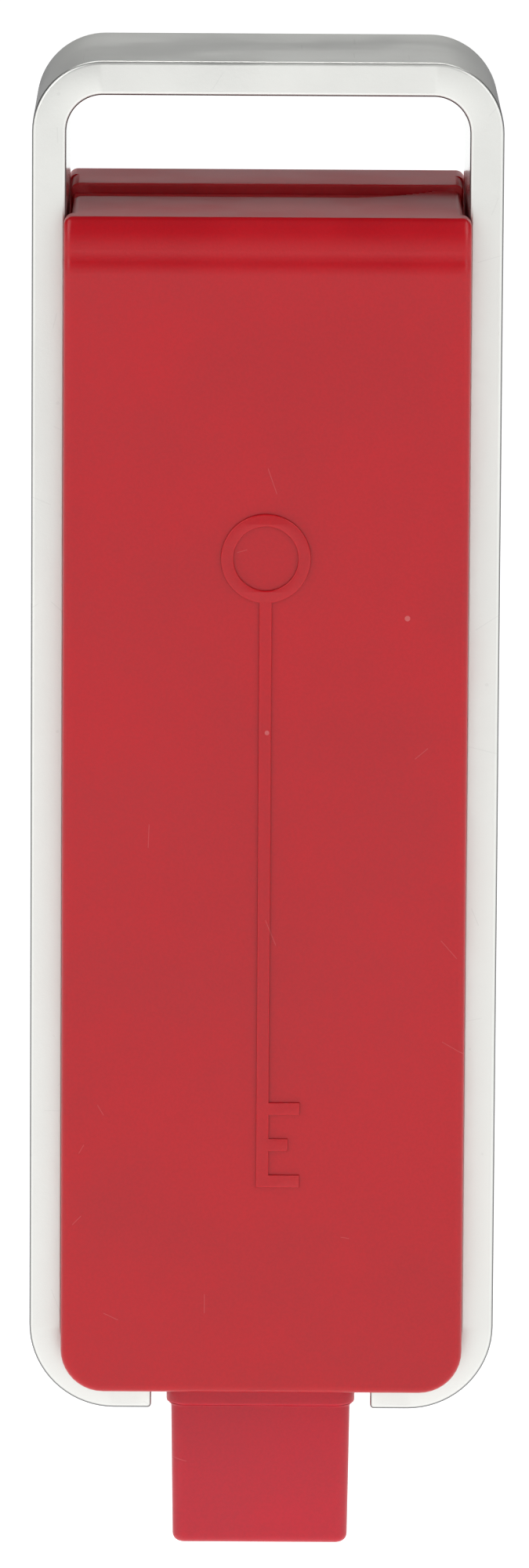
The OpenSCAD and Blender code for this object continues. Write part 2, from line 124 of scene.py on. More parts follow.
@dataclass
class Skin:
    """A closed mesh in the making, in millimetres."""

    points: list[Point] = field(default_factory=list)
    faces: list[tuple[int, ...]] = field(default_factory=list)

    def ring(self, points: Iterable[Point]) -> list[int]:
        """Adds points and returns their numbers."""
        start = len(self.points)
        self.points.extend(tuple(p) for p in points)
        return list(range(start, len(self.points)))

    def bridge(self, one: Sequence[int], two: Sequence[int]) -> None:
        """Joins two closed rings of the same length with four-sided faces."""
        count = len(one)
        for i in range(count):
            j = (i + 1) % count
            self.faces.append((one[i], one[j], two[j], two[i]))

    def loft(self, rings: Sequence[Sequence[int]]) -> None:
        """Joins each ring to the next."""
        for one, two in zip(rings, rings[1:]):
            self.bridge(one, two)

    def cap(self, ring: Sequence[int]) -> None:
        """Closes a ring with one flat face."""
        self.faces.append(tuple(ring))

    def close(self, rings: Sequence[Sequence[int]]) -> None:
        """Joins each ring to the next and caps both ends."""
        self.loft(rings)
        self.cap(rings[0])
        self.cap(rings[-1])

    def lid(self, rows: Sequence[Sequence[Point]]) -> list[int]:
        """Adds a sheet of four-sided faces.

        Args:
            rows: rows of points, each row from left to right, the first row at the bottom.

        Returns:
            The sheet's outer edge as a ring: bottom, right side, top, left side.
        """
        numbers = [self.ring(row) for row in rows]
        for low, high in zip(numbers, numbers[1:]):
            for i in range(len(low) - 1):
                self.faces.append((low[i], low[i + 1], high[i + 1], high[i]))
        right = [row[-1] for row in numbers[1:-1]]
        left = [row[0] for row in reversed(numbers[1:-1])]
        return numbers[0] + right + numbers[-1][::-1] + left

    def prism(self, outline: Sequence[Flat], place: Callable[[float, float, float], Point],
              low: float, high: float, round_by: float) -> None:
        """Adds an upright solid with softened ends over a convex or nearly convex outline.

        Args:
            outline: the outline's points, in order.
            place: turns (u, v, height) into a point.
            low: height of one end.
            high: height of the other end.
            round_by: how much the two end edges are broken.
        """
        mid_u = sum(u for u, _ in outline) / len(outline)
        mid_v = sum(v for _, v in outline) / len(outline)
        reach = max(math.hypot(u - mid_u, v - mid_v) for u, v in outline)
        shrink = 1 - round_by / reach
        steps = [(low, shrink), (low + round_by * 0.35, (1 + shrink) / 2 + round_by * 0.1 / reach),
                 (low + round_by, 1.0), (high - round_by, 1.0),
                 (high - round_by * 0.35, (1 + shrink) / 2 + round_by * 0.1 / reach), (high, shrink)]
        rings = [self.ring(place(mid_u + (u - mid_u) * s, mid_v + (v - mid_v) * s, h)
                           for u, v in outline) for h, s in steps]
        self.close(rings)

    def turned(self, profile: Sequence[Flat], centre: Flat, sides: int = 64) -> None:
        """Adds a solid turned about an upright axis.

        Args:
            profile: (radius, height) pairs, the first and last on or near the axis.
            centre: the axis, as x and y.
            sides: number of sides.
        """
        rings = []
        for radius, height in profile:
            radius = max(radius, 0.002)
            rings.append(self.ring(
                (centre[0] + radius * math.cos(math.tau * k / sides),
                 centre[1] + radius * math.sin(math.tau * k / sides), height) for k in range(sides)))
        self.close(rings)

    def tube(self, path: Sequence[Vector], radius: float, sides: int = 10) -> None:
        """Adds a round wire with softened ends along a path of points."""
        rings = []
        side = Vector((0, 0, 1))
        count = len(path)
        for i, p in enumerate(path):
            ahead = (path[min(i + 1, count - 1)] - path[max(i - 1, 0)]).normalized()
            out = ahead.cross(side).normalized()
            up = out.cross(ahead).normalized()
            thick = radius * (0.75 if i in (0, count - 1) else 1.0)
            turns = ramp(sides, 0.0, math.tau)[:-1]
            rings.append(self.ring(tuple(p + thick * (math.cos(a) * out + math.sin(a) * up)) for a in turns))
        self.close(rings)

    def piece(self, name: str, body: str, material: Material,
              stands_for: Sequence[str] = (), sharp: float = 40.0, weighted: bool = True) -> Piece:
        """Makes the object from what was added.

        Args:
            name: the piece's name.
            body: the CAD body that it rides on.
            material: its material.
            stands_for: CAD nodes that it replaces.
            sharp: angle in degrees above which an edge stays crisp in the shading.
            weighted: whether big faces lead the shading, which keeps flats flat beside small roundings.

        Returns:
            The new object.
        """
        mesh = bpy.data.meshes.new(name)
        mesh.from_pydata([tuple(c * MM for c in p) for p in self.points], [], self.faces)
        clean(mesh, 0.0005)
        obj = bpy.data.objects.new(name, mesh)
        link(obj)
        finish_piece(obj, body, material, stands_for, sharp, weighted)
        return obj


def finish_piece(obj: Piece, body: str, material: Material,
                 stands_for: Sequence[str], sharp: float, weighted: bool) -> None:
    """Shades, dresses and fixes a piece to its body.

    Args:
        obj: the piece.
        body: the CAD body that it rides on.
        material: its material.
        stands_for: CAD nodes that it replaces.
        sharp: angle in degrees above which an edge stays crisp in the shading.
        weighted: whether big faces lead the shading.
    """
    obj.data.shade_smooth()
    obj.data.set_sharp_from_angle(angle=math.radians(sharp))
    if weighted:
        lead = obj.modifiers.new("flat_faces_lead", "WEIGHTED_NORMAL")
        lead.mode = "FACE_AREA"
        lead.keep_sharp = True
    obj.data.materials.clear()
    obj.data.materials.append(material)
    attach(obj, body)
    if stands_for:
        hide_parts(*stands_for)
    log.info("%s: %d faces, rides on %s", obj.name, len(obj.data.polygons), body)


def dress_node(name: str, slot: Slot, material: Material, edge_mm: float = 0.0,
               sharp: float = 35.0) -> None:
    """Gives a carried-over CAD node its material and soft edges.

    Args:
        name: the CAD node.
        slot: the material slot whose name is written into the log.
        material: its material.
        edge_mm: radius of its edges, 0 for none.
        sharp: angle in degrees above which an edge stays crisp in the shading.
    """
    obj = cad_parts[name]
    obj.data.materials.clear()
    obj.data.materials.append(material)
    obj.data.shade_smooth()
    obj.data.set_sharp_from_angle(angle=math.radians(sharp))
    if edge_mm > 0:
        soft = obj.modifiers.new("soft_edges", "BEVEL")
        soft.width = edge_mm * MM
        soft.segments = 2
        soft.limit_method = "ANGLE"
        soft.angle_limit = math.radians(40)
        soft.use_clamp_overlap = True
    log.info("%s: CAD node, dressed as %s", name, slot.value)


# ---- Outlines shared by the shells, the nose and the seal ----

@dataclass(frozen=True)
class Outline:
    """A rounded rectangle in X and Z, with its own radii at the bottom and the top."""

    width: float
    z0: float
    z1: float
    rb: float
    rt: float

    def side(self, stops: Sequence[float], arc: int = 10) -> list[Flat]:
        """Points up the right side, corner arcs included.

        Args:
            stops: where rows lie on the straight part, from 0 at its bottom to 1 at its top.
            arc: number of steps in each corner.

        Returns:
            (x, z) pairs from the bottom to the top.
        """
        half = self.width / 2
        low = [(half - self.rb + self.rb * math.sin(a), self.z0 + self.rb - self.rb * math.cos(a))
               for a in ramp(arc, 0, math.pi / 2)]
        high = [(half - self.rt + self.rt * math.cos(a), self.z1 - self.rt + self.rt * math.sin(a))
                for a in ramp(arc, 0, math.pi / 2)]
        start, end = self.z0 + self.rb, self.z1 - self.rt
        return low + [(half, start + (end - start) * s) for s in stops] + high

    def rows(self, stops: Sequence[float], columns: int) -> list[list[Flat]]:
        """The whole face as rows of (x, z) pairs."""
        return [[(x * (2 * j / columns - 1), z) for j in range(columns + 1)] for x, z in self.side(stops)]

    def loop(self, stops: Sequence[float], columns: int) -> list[Flat]:
        """The outer edge of rows(), in the order that Skin.lid returns."""
        rows = self.rows(stops, columns)
        right = [row[-1] for row in rows[1:-1]]
        left = [row[0] for row in reversed(rows[1:-1])]
        return rows[0] + right + rows[-1][::-1] + left

    def grown(self, out: float, out_top: float | None = None) -> "Outline":
        """The outline moved outwards, by a different amount at the top where that is given."""
        top = out if out_top is None else out_top
        return Outline(self.width + 2 * out, self.z0 - out, self.z1 + top, self.rb + out, self.rt + out)


def rounded_block(width: float, depth: float, radius: float, arc: int = 6) -> list[Flat]:
    """Points round a rounded rectangle centred on (0, 0)."""
    points = []
    for corner in range(4):
        turn = corner * math.pi / 2
        cx = (width / 2 - radius) * (1 if corner in (0, 3) else -1)
        cy = (depth / 2 - radius) * (1 if corner in (0, 1) else -1)
        points += [(cx + radius * math.cos(turn + a), cy + radius * math.sin(turn + a))
                   for a in ramp(arc, 0, math.pi / 2)]
    return points


# ---- Shader node groups ----

@dataclass
class Tree:
    """A short way to place and join shader nodes."""

    tree: bpy.types.NodeTree

    def add(self, kind: str, settings: dict[str, object] | None = None,
            **values: object) -> Node:
        """Places a node.

        Args:
            kind: the node's Blender type.
            settings: the node's own properties.
            values: input values or links, by the input's name in lower case with _ for a space;
                a name that ends in a number picks the input with that number.

        Returns:
            The node.
        """
        node = self.tree.nodes.new(kind)
        for key, value in (settings or {}).items():
            setattr(node, key, value)
        for key, value in values.items():
            socket = self.socket(node, key)
            if isinstance(value, Socket):
                self.tree.links.new(value, socket)
            else:
                socket.default_value = value
        return node

    def socket(self, node: Node, key: str) -> Socket:
        """The input of a node that a keyword names."""
        if key.startswith("in") and key[2:].isdigit():
            return node.inputs[int(key[2:])]
        wanted = key.replace("_", " ")
        for socket in node.inputs:
            if socket.name.lower() == wanted and socket.enabled:
                return socket
        raise KeyError(f"{node.bl_idname} has no input {wanted!r}")

    def math(self, operation: str, *values: object) -> Socket:
        """Places a Math node and returns its output."""
        node = self.add("ShaderNodeMath", {"operation": operation},
                        **{f"in{i}": v for i, v in enumerate(values)})
        return node.outputs[0]

    def times(self, one: object, two: object) -> Socket:
        """One value times another."""
        return self.math("MULTIPLY", one, two)

    def plus(self, one: object, two: object) -> Socket:
        """One value plus another."""
        return self.math("ADD", one, two)

    def minus(self, one: object, two: object) -> Socket:
        """One value less another."""
        return self.math("SUBTRACT", one, two)

    def size(self, value: object) -> Socket:
        """A value without its sign."""
        return self.math("ABSOLUTE", value)

    def above(self, value: object, limit: object) -> Socket:
        """1 where a value is above a limit, else 0."""
        return self.math("GREATER_THAN", value, limit)

    def under(self, value: object, limit: object) -> Socket:
        """1 where a value is under a limit, else 0."""
        return self.math("LESS_THAN", value, limit)

    def larger(self, one: object, two: object) -> Socket:
        """The larger of two values."""
        return self.math("MAXIMUM", one, two)

    def span(self, value: object, low: float, high: float, to_low: float = 0.0,
             to_high: float = 1.0) -> Socket:
        """Maps a value from one span to another, smoothly and within its ends."""
        node = self.add("ShaderNodeMapRange", {"interpolation_type": "SMOOTHSTEP"}, value=value,
                        from_min=low, from_max=high, to_min=to_low, to_max=to_high)
        return node.outputs[0]

    def blend(self, mask: object, one: object, two: object) -> Socket:
        """Mixes two colours, each a link or three numbers, by a mask."""
        one, two = (c if isinstance(c, Socket) else rgb(*c) for c in (one, two))
        node = self.add("ShaderNodeMix", {"data_type": "RGBA"}, in0=mask, in6=one, in7=two)
        return node.outputs[2]


class Effect(Enum):
    """Surface effects that several materials share, each a node group."""

    GRAIN = "surface_grain"
    BLOTCH = "slow_blotches"
    SPECK = "dust_specks"
    SCRATCH = "hair_scratches"
    WEAR = "edge_wear"


def new_group(effect: Effect, output: str, **inputs: float) -> tuple[Tree, dict[str, Socket], Socket]:
    """Starts the node group of a shared effect, which takes a place and some numbers.

    Args:
        effect: the effect.
        output: name of its one output, a number.
        inputs: its number inputs, each with its first value.

    Returns:
        The group's tree, its inputs by lower-case name, and the socket that takes its result.
    """
    group = bpy.data.node_groups.new(effect.value, "ShaderNodeTree")
    group.interface.new_socket("Place", in_out="INPUT", socket_type="NodeSocketVector")
    for label, value in inputs.items():
        socket = group.interface.new_socket(label.capitalize(), in_out="INPUT", socket_type="NodeSocketFloat")
        socket.default_value = value
    group.interface.new_socket(output, in_out="OUTPUT", socket_type="NodeSocketFloat")
    start, end = group.nodes.new("NodeGroupInput"), group.nodes.new("NodeGroupOutput")
    return Tree(group), {socket.name.lower(): socket for socket in start.outputs}, end.inputs[output]


def build_grain() -> None:
    """Fine moulding or blasting grain: a height."""
    t, given, result = new_group(Effect.GRAIN, "Height", cells=4000.0, sharpness=0.5)
    fine = t.add("ShaderNodeTexNoise", vector=given["place"], scale=given["cells"], detail=2.0,
                 roughness=given["sharpness"])
    t.tree.links.new(fine.outputs[0], result)


def build_blotches() -> None:
    """Slow changes over a surface: a value from 0 to 1."""
    t, given, result = new_group(Effect.BLOTCH, "Value", cells=150.0)
    slow = t.add("ShaderNodeTexNoise", vector=given["place"], scale=given["cells"], detail=3.0,
                 roughness=0.55)
    t.tree.links.new(t.span(slow.outputs[0], 0.3, 0.7), result)


def build_specks() -> None:
    """Sparse small round specks: a mask."""
    t, given, result = new_group(Effect.SPECK, "Mask", cells=400.0, size=0.06, share=0.1)
    cells = t.add("ShaderNodeTexVoronoi", vector=given["place"], scale=given["cells"], randomness=1.0)
    near = t.under(cells.outputs["Distance"], given["size"])
    pick = t.add("ShaderNodeSeparateColor", color=cells.outputs["Color"])
    t.tree.links.new(t.times(near, t.under(pick.outputs[0], given["share"])), result)


def build_scratches() -> None:
    """Sparse, short, hair-thin scratches that each run their own way: a mask."""
    t, given, result = new_group(Effect.SCRATCH, "Mask", cells=150.0, width=0.00003, reach=0.0005, share=0.2)
    cells = t.add("ShaderNodeTexVoronoi", vector=given["place"], scale=given["cells"], randomness=1.0)
    off = t.add("ShaderNodeVectorMath", {"operation": "SUBTRACT"}, in0=given["place"],
                in1=cells.outputs["Position"])
    draws = t.add("ShaderNodeSeparateColor", color=cells.outputs["Color"])
    turned = t.add("ShaderNodeVectorRotate", {"rotation_type": "Y_AXIS"}, vector=off.outputs[0],
                   angle=t.times(draws.outputs[0], math.tau))
    split = t.add("ShaderNodeSeparateXYZ", vector=turned.outputs[0])
    thin = t.under(t.size(split.outputs[0]), given["width"])
    short = t.under(t.size(split.outputs[2]), t.times(given["reach"], t.plus(draws.outputs[2], 0.3)))
    kept = t.under(draws.outputs[1], given["share"])
    t.tree.links.new(t.times(t.times(thin, short), kept), result)


def build_wear() -> None:
    """Rubbed outer edges, broken up by noise: a mask."""
    t, given, result = new_group(Effect.WEAR, "Mask", cells=900.0, start=0.52, amount=1.0)
    shape = t.add("ShaderNodeNewGeometry")
    sharp = t.span(t.times(t.minus(shape.outputs["Pointiness"], given["start"]), 20.0), 0.0, 1.0)
    broken = t.add("ShaderNodeTexNoise", vector=given["place"], scale=given["cells"], detail=3.0)
    patchy = t.span(broken.outputs[0], 0.35, 0.65, 0.3, 1.0)
    t.tree.links.new(t.times(t.times(sharp, patchy), given["amount"]), result)


# ---- Finishes ----

@dataclass
class Surface(Tree):
    """A material in the making, with its Principled node and its place vector."""

    material: Material
    shader: Node
    place: Socket

    @classmethod
    def start(cls, name: str) -> "Surface":
        """A new material with one Principled node joined to its output."""
        material = bpy.data.materials.new(name)
        material.use_nodes = True
        nodes = material.node_tree.nodes
        nodes.clear()
        shader = nodes.new("ShaderNodeBsdfPrincipled")
        out = nodes.new("ShaderNodeOutputMaterial")
        material.node_tree.links.new(shader.outputs[0], out.inputs["Surface"])
        place = nodes.new("ShaderNodeTexCoord").outputs["Object"]
        return cls(material.node_tree, material, shader, place)

    def effect(self, kind: Effect, **values: object) -> Socket:
        """Places a shared effect and returns its one output."""
        node = self.add("ShaderNodeGroup", {"node_tree": bpy.data.node_groups[kind.value]},
                             place=self.place, **values)
        return node.outputs[0]

    def bump(self, height: object, distance_mm: float, strength: float = 1.0,
             under: Socket | None = None) -> Socket:
        """Places a Bump node over an earlier normal and returns the new normal."""
        more = {} if under is None else {"normal": under}
        node = self.add("ShaderNodeBump", height=height, distance=distance_mm * MM, strength=strength,
                             **more)
        return node.outputs[0]

    def set(self, **values: object) -> None:
        """Sets or joins inputs of the Principled node."""
        for key, value in values.items():
            socket = self.socket(self.shader, key)
            if isinstance(value, Socket):
                self.tree.links.new(value, socket)
            else:
                socket.default_value = value


def rgb(red: float, green: float, blue: float) -> tuple[float, float, float, float]:
    """A colour as Blender wants it."""
    return (red, green, blue, 1.0)


@dataclass(frozen=True)
class MouldedPlastic:
    """Injection-moulded plastic with a fine satin texture, a little dust and a few scratches."""

    name: str
    colour: Colour
    pale: Colour
    rough: tuple[float, float] = (0.3, 0.36)
    grain_cells: float = 6500.0
    grain_mm: float = 0.005
    dust: float = 0.05
    scratches: float = 0.22
    glow_depth: float = 0.0

    def make(self) -> Material:
        """Builds the material."""
        s = Surface.start(self.name)
        slow = s.effect(Effect.BLOTCH, cells=160.0)
        dust = s.effect(Effect.SPECK, cells=420.0, size=0.075, share=self.dust)
        hair = s.effect(Effect.SCRATCH, cells=170.0, width=0.00002, reach=0.0007, share=self.scratches)
        worn = s.effect(Effect.WEAR, cells=1400.0, start=0.53, amount=0.5)
        grain = s.effect(Effect.GRAIN, cells=self.grain_cells, sharpness=0.6)
        deep = tuple(c * 0.84 for c in self.colour)
        sharp = s.span(grain, 0.3, 0.7)
        tone = s.plus(s.times(slow, 0.5), s.times(sharp, 0.5))
        hazy = s.blend(s.effect(Effect.BLOTCH, cells=45.0), deep, tuple(c + 0.004 for c in deep))
        body = s.blend(tone, hazy, self.colour)
        rubbed = s.blend(s.times(worn, 0.08), body, self.pale)
        marks = s.times(s.larger(dust, s.times(hair, 0.55)), 0.5)
        colour = s.blend(marks, rubbed, self.pale)
        satin = s.span(slow, 0.0, 1.0, self.rough[0], self.rough[1])
        rough = s.plus(satin, s.times(hair, 0.12))
        skin = s.bump(grain, self.grain_mm)
        skin = s.bump(s.times(hair, -1.0), 0.004, under=skin)
        s.set(base_color=colour, roughness=rough, normal=skin, specular_ior_level=0.42)
        if self.glow_depth > 0:
            s.set(subsurface_weight=0.4, subsurface_radius=(1.0, 0.12, 0.08),
                  subsurface_scale=self.glow_depth * MM)
        return s.material


@dataclass(frozen=True)
class BlastedMetal:
    """Bead-blasted, satin-plated strip with rubbed bright edges and painted shade that darkens its rims where
    the surface turns away from view.
    """

    name: str
    colour: Colour
    rough: tuple[float, float] = (0.4, 0.47)
    grain_cells: float = 7000.0
    grain_mm: float = 0.004
    wear: float = 0.8
    # how far painted shade darkens the rims where the surface turns away from view
    painted_rim_shade: float = 0.88

    def make(self) -> Material:
        """Builds the material."""
        s = Surface.start(self.name)
        slow = s.effect(Effect.BLOTCH, cells=120.0)
        worn = s.effect(Effect.WEAR, cells=1200.0, start=0.52, amount=self.wear)
        hair = s.effect(Effect.SCRATCH, cells=420.0, width=0.000025, reach=0.0009, share=0.3)
        speck = s.effect(Effect.SPECK, cells=1500.0, size=0.14, share=0.06)
        dull = tuple(c * 0.93 for c in self.colour)
        metal = s.blend(slow, dull, self.colour)
        pits = s.times(s.larger(speck, hair), 0.12)
        marked = s.blend(pits, metal, (0.45, 0.45, 0.44))
        # Painted shade: the colour darkens towards dark grey where the surface turns away from view, less on
        # faces that point up. This draws a dark outline round the band.
        turned_away = s.add("ShaderNodeLayerWeight", blend=0.5).outputs["Facing"]
        facing = s.add("ShaderNodeNewGeometry").outputs["Normal"]
        upright = s.add("ShaderNodeSeparateXYZ", vector=facing).outputs[2]
        below = s.span(upright, 0.3, 0.9, 1.0, 0.0)
        outline = s.times(s.span(turned_away, 0.08, 0.45, 0.0, self.painted_rim_shade), below)
        colour = s.blend(outline, marked, (0.1, 0.1, 0.105))
        satin = s.span(slow, 0.0, 1.0, self.rough[0], self.rough[1])
        rough = s.minus(satin, s.times(worn, 0.1))
        grain = s.effect(Effect.GRAIN, cells=self.grain_cells, sharpness=0.7)
        skin = s.bump(grain, self.grain_mm)
        s.set(base_color=colour, roughness=rough, normal=skin, metallic=1.0)
        return s.material


@dataclass(frozen=True)
class PlatedMetal:
    """Smooth plated or drawn metal with tool marks, for small contacts, screws and springs."""

    name: str
    colour: Colour
    dark: Colour
    rough: float = 0.28
    cells: float = 2500.0

    def make(self) -> Material:
        """Builds the material."""
        s = Surface.start(self.name)
        slow = s.effect(Effect.BLOTCH, cells=self.cells * 0.3)
        worn = s.effect(Effect.WEAR, cells=self.cells, start=0.55, amount=0.7)
        tarnish = s.blend(s.times(slow, 0.45), self.colour, self.dark)
        bright = tuple(min(1.0, c * 1.08) for c in self.colour)
        colour = s.blend(worn, tarnish, bright)
        rough = s.span(slow, 0.0, 1.0, self.rough, self.rough + 0.14)
        grain = s.effect(Effect.GRAIN, cells=self.cells * 4, sharpness=0.7)
        s.set(base_color=colour, roughness=rough, metallic=1.0, normal=s.bump(grain, 0.003))
        return s.material


@dataclass(frozen=True)
class MattBlack:
    """Matt rubber, glass-filled plastic, chip resin or ferrite."""

    name: str
    colour: Colour
    rough: float = 0.6
    cells: float = 5000.0
    grain_mm: float = 0.008
    dust: float = 0.1

    def make(self) -> Material:
        """Builds the material."""
        s = Surface.start(self.name)
        slow = s.effect(Effect.BLOTCH, cells=300.0)
        dust = s.effect(Effect.SPECK, cells=700.0, size=0.08, share=self.dust)
        worn = s.effect(Effect.WEAR, cells=1500.0, start=0.54, amount=0.6)
        pale = tuple(min(1.0, c * 1.9 + 0.02) for c in self.colour)
        body = s.blend(slow, self.colour, tuple(c * 1.25 for c in self.colour))
        marks = s.times(s.larger(dust, worn), 0.4)
        rough = s.span(slow, 0.0, 1.0, self.rough - 0.06, self.rough + 0.06)
        grain = s.effect(Effect.GRAIN, cells=self.cells, sharpness=0.7)
        s.set(base_color=s.blend(marks, body, pale), roughness=rough,
              normal=s.bump(grain, self.grain_mm))
        return s.material


@dataclass(frozen=True)
class SolderMask:
    """Green circuit board with raised tracks and tinned pads under the mask."""

    name: str
    mask: Colour
    track: Colour

    def make(self) -> Material:
        """Builds the material."""
        s = Surface.start(self.name)
        split = s.add("ShaderNodeSeparateXYZ", vector=s.place)
        flat = s.add("ShaderNodeCombineXYZ", in0=split.outputs[0], in1=split.outputs[2])
        lanes = s.add("ShaderNodeTexBrick", {"offset": 0.37, "squash": 0.6, "squash_frequency": 3},
                           vector=flat.outputs[0], color1=rgb(1, 1, 1), color2=rgb(1, 1, 1),
                           mortar=rgb(0, 0, 0), scale=260.0, mortar_size=0.05, mortar_smooth=0.1,
                           brick_width=1.9, row_height=0.34)
        track = s.minus(1.0, lanes.outputs["Fac"])
        via = s.effect(Effect.SPECK, cells=520.0, size=0.22, share=0.22)
        edge_on = s.add("ShaderNodeNewGeometry").outputs["Normal"]
        facing = s.add("ShaderNodeSeparateXYZ", vector=edge_on).outputs[1]
        face = s.above(s.size(facing), 0.7)
        lines = s.times(s.minus(1.0, track), face)
        base = s.blend(lines, self.mask, self.track)
        colour = s.blend(s.times(via, face), base, (0.75, 0.72, 0.62))
        slow = s.effect(Effect.BLOTCH, cells=400.0)
        rough = s.span(slow, 0.0, 1.0, 0.28, 0.4)
        height = s.plus(lines, s.times(via, 0.6))
        s.set(base_color=colour, roughness=rough, normal=s.bump(height, 0.02))
        return s.material


@dataclass(frozen=True)
class Ceramic:
    """Chip part: a ceramic middle between two tinned ends."""

    name: str
    body: Colour
    centres: tuple[float, ...]
    half_body: float

    def make(self) -> Material:
        """Builds the material."""
        s = Surface.start(self.name)
        across = s.add("ShaderNodeSeparateXYZ", vector=s.place).outputs[self.axis()]
        nearest: object = 1.0
        for centre in self.centres:
            gap = s.size(s.minus(across, centre * MM))
            nearest = s.math("MINIMUM", nearest, gap)
        tinned = s.above(nearest, self.half_body * MM)
        slow = s.effect(Effect.BLOTCH, cells=1500.0)
        clay = s.blend(slow, self.body, tuple(c * 0.8 for c in self.body))
        grain = s.effect(Effect.GRAIN, cells=9000.0, sharpness=0.6)
        s.set(base_color=s.blend(tinned, clay, (0.72, 0.72, 0.7)), metallic=tinned,
              roughness=s.span(slow, 0.0, 1.0, 0.35, 0.5), normal=s.bump(grain, 0.006))
        return s.material

    def axis(self) -> int:
        """Which coordinate runs from end to end: X for wide parts, Z for upright ones."""
        return 2 if all(c < -30 for c in self.centres) else 0


@dataclass(frozen=True)
class CellWrap:
    """Printed plastic sleeve of a cylinder cell with bare steel ends."""

    name: str
    sleeve: Colour
    stripe: Colour
    steel: Colour
    axis_y: float
    radius: float
    low: float
    high: float

    def make(self) -> Material:
        """Builds the material."""
        s = Surface.start(self.name)
        split = s.add("ShaderNodeSeparateXYZ", vector=s.place)
        up = split.outputs[2]
        inside = s.times(s.above(up, self.low * MM),
                             s.under(up, self.high * MM))
        off_y = s.minus(split.outputs[1], self.axis_y * MM)
        radius = s.math("SQRT", s.plus(s.times(split.outputs[0], split.outputs[0]),
                                                 s.times(off_y, off_y)))
        outer = s.above(radius, self.radius * MM)
        sleeve = s.larger(inside, outer)
        band = s.above(up, (self.high - 5.5) * MM)
        printed = s.blend(band, self.sleeve, self.stripe)
        slow = s.effect(Effect.BLOTCH, cells=350.0)
        metal = s.minus(1.0, sleeve)
        grain = s.effect(Effect.GRAIN, cells=1500.0, sharpness=0.4)
        s.set(base_color=s.blend(sleeve, self.steel, printed), metallic=metal,
              roughness=s.span(slow, 0.0, 1.0, 0.28, 0.38), normal=s.bump(grain, 0.01))
        return s.material


# ---- Body shells ----

@dataclass
class BodyHalf:
    """What the two halves of the red body share."""

    width: float = 20.7
    core_width: float = 20.0
    cavity_width: float = 17.4
    top: float = -6.0
    cavity_top: float = -7.3
    bottom: float = -67.0
    core_bottom: float = -66.4
    cavity_bottom: float = -65.1
    corner: float = 2.2
    core_corner: float = 2.55
    cavity_corner: float = 0.5
    edge: float = 0.4

    def core(self) -> Outline:
        """The part of the body that lies inside the band."""
        return Outline(self.core_width, self.core_bottom, self.top, self.core_corner, self.edge)

    def cavity(self) -> Outline:
        """The hollow inside."""
        return Outline(self.cavity_width, self.cavity_bottom, self.cavity_top, self.cavity_corner,
                       self.cavity_corner)


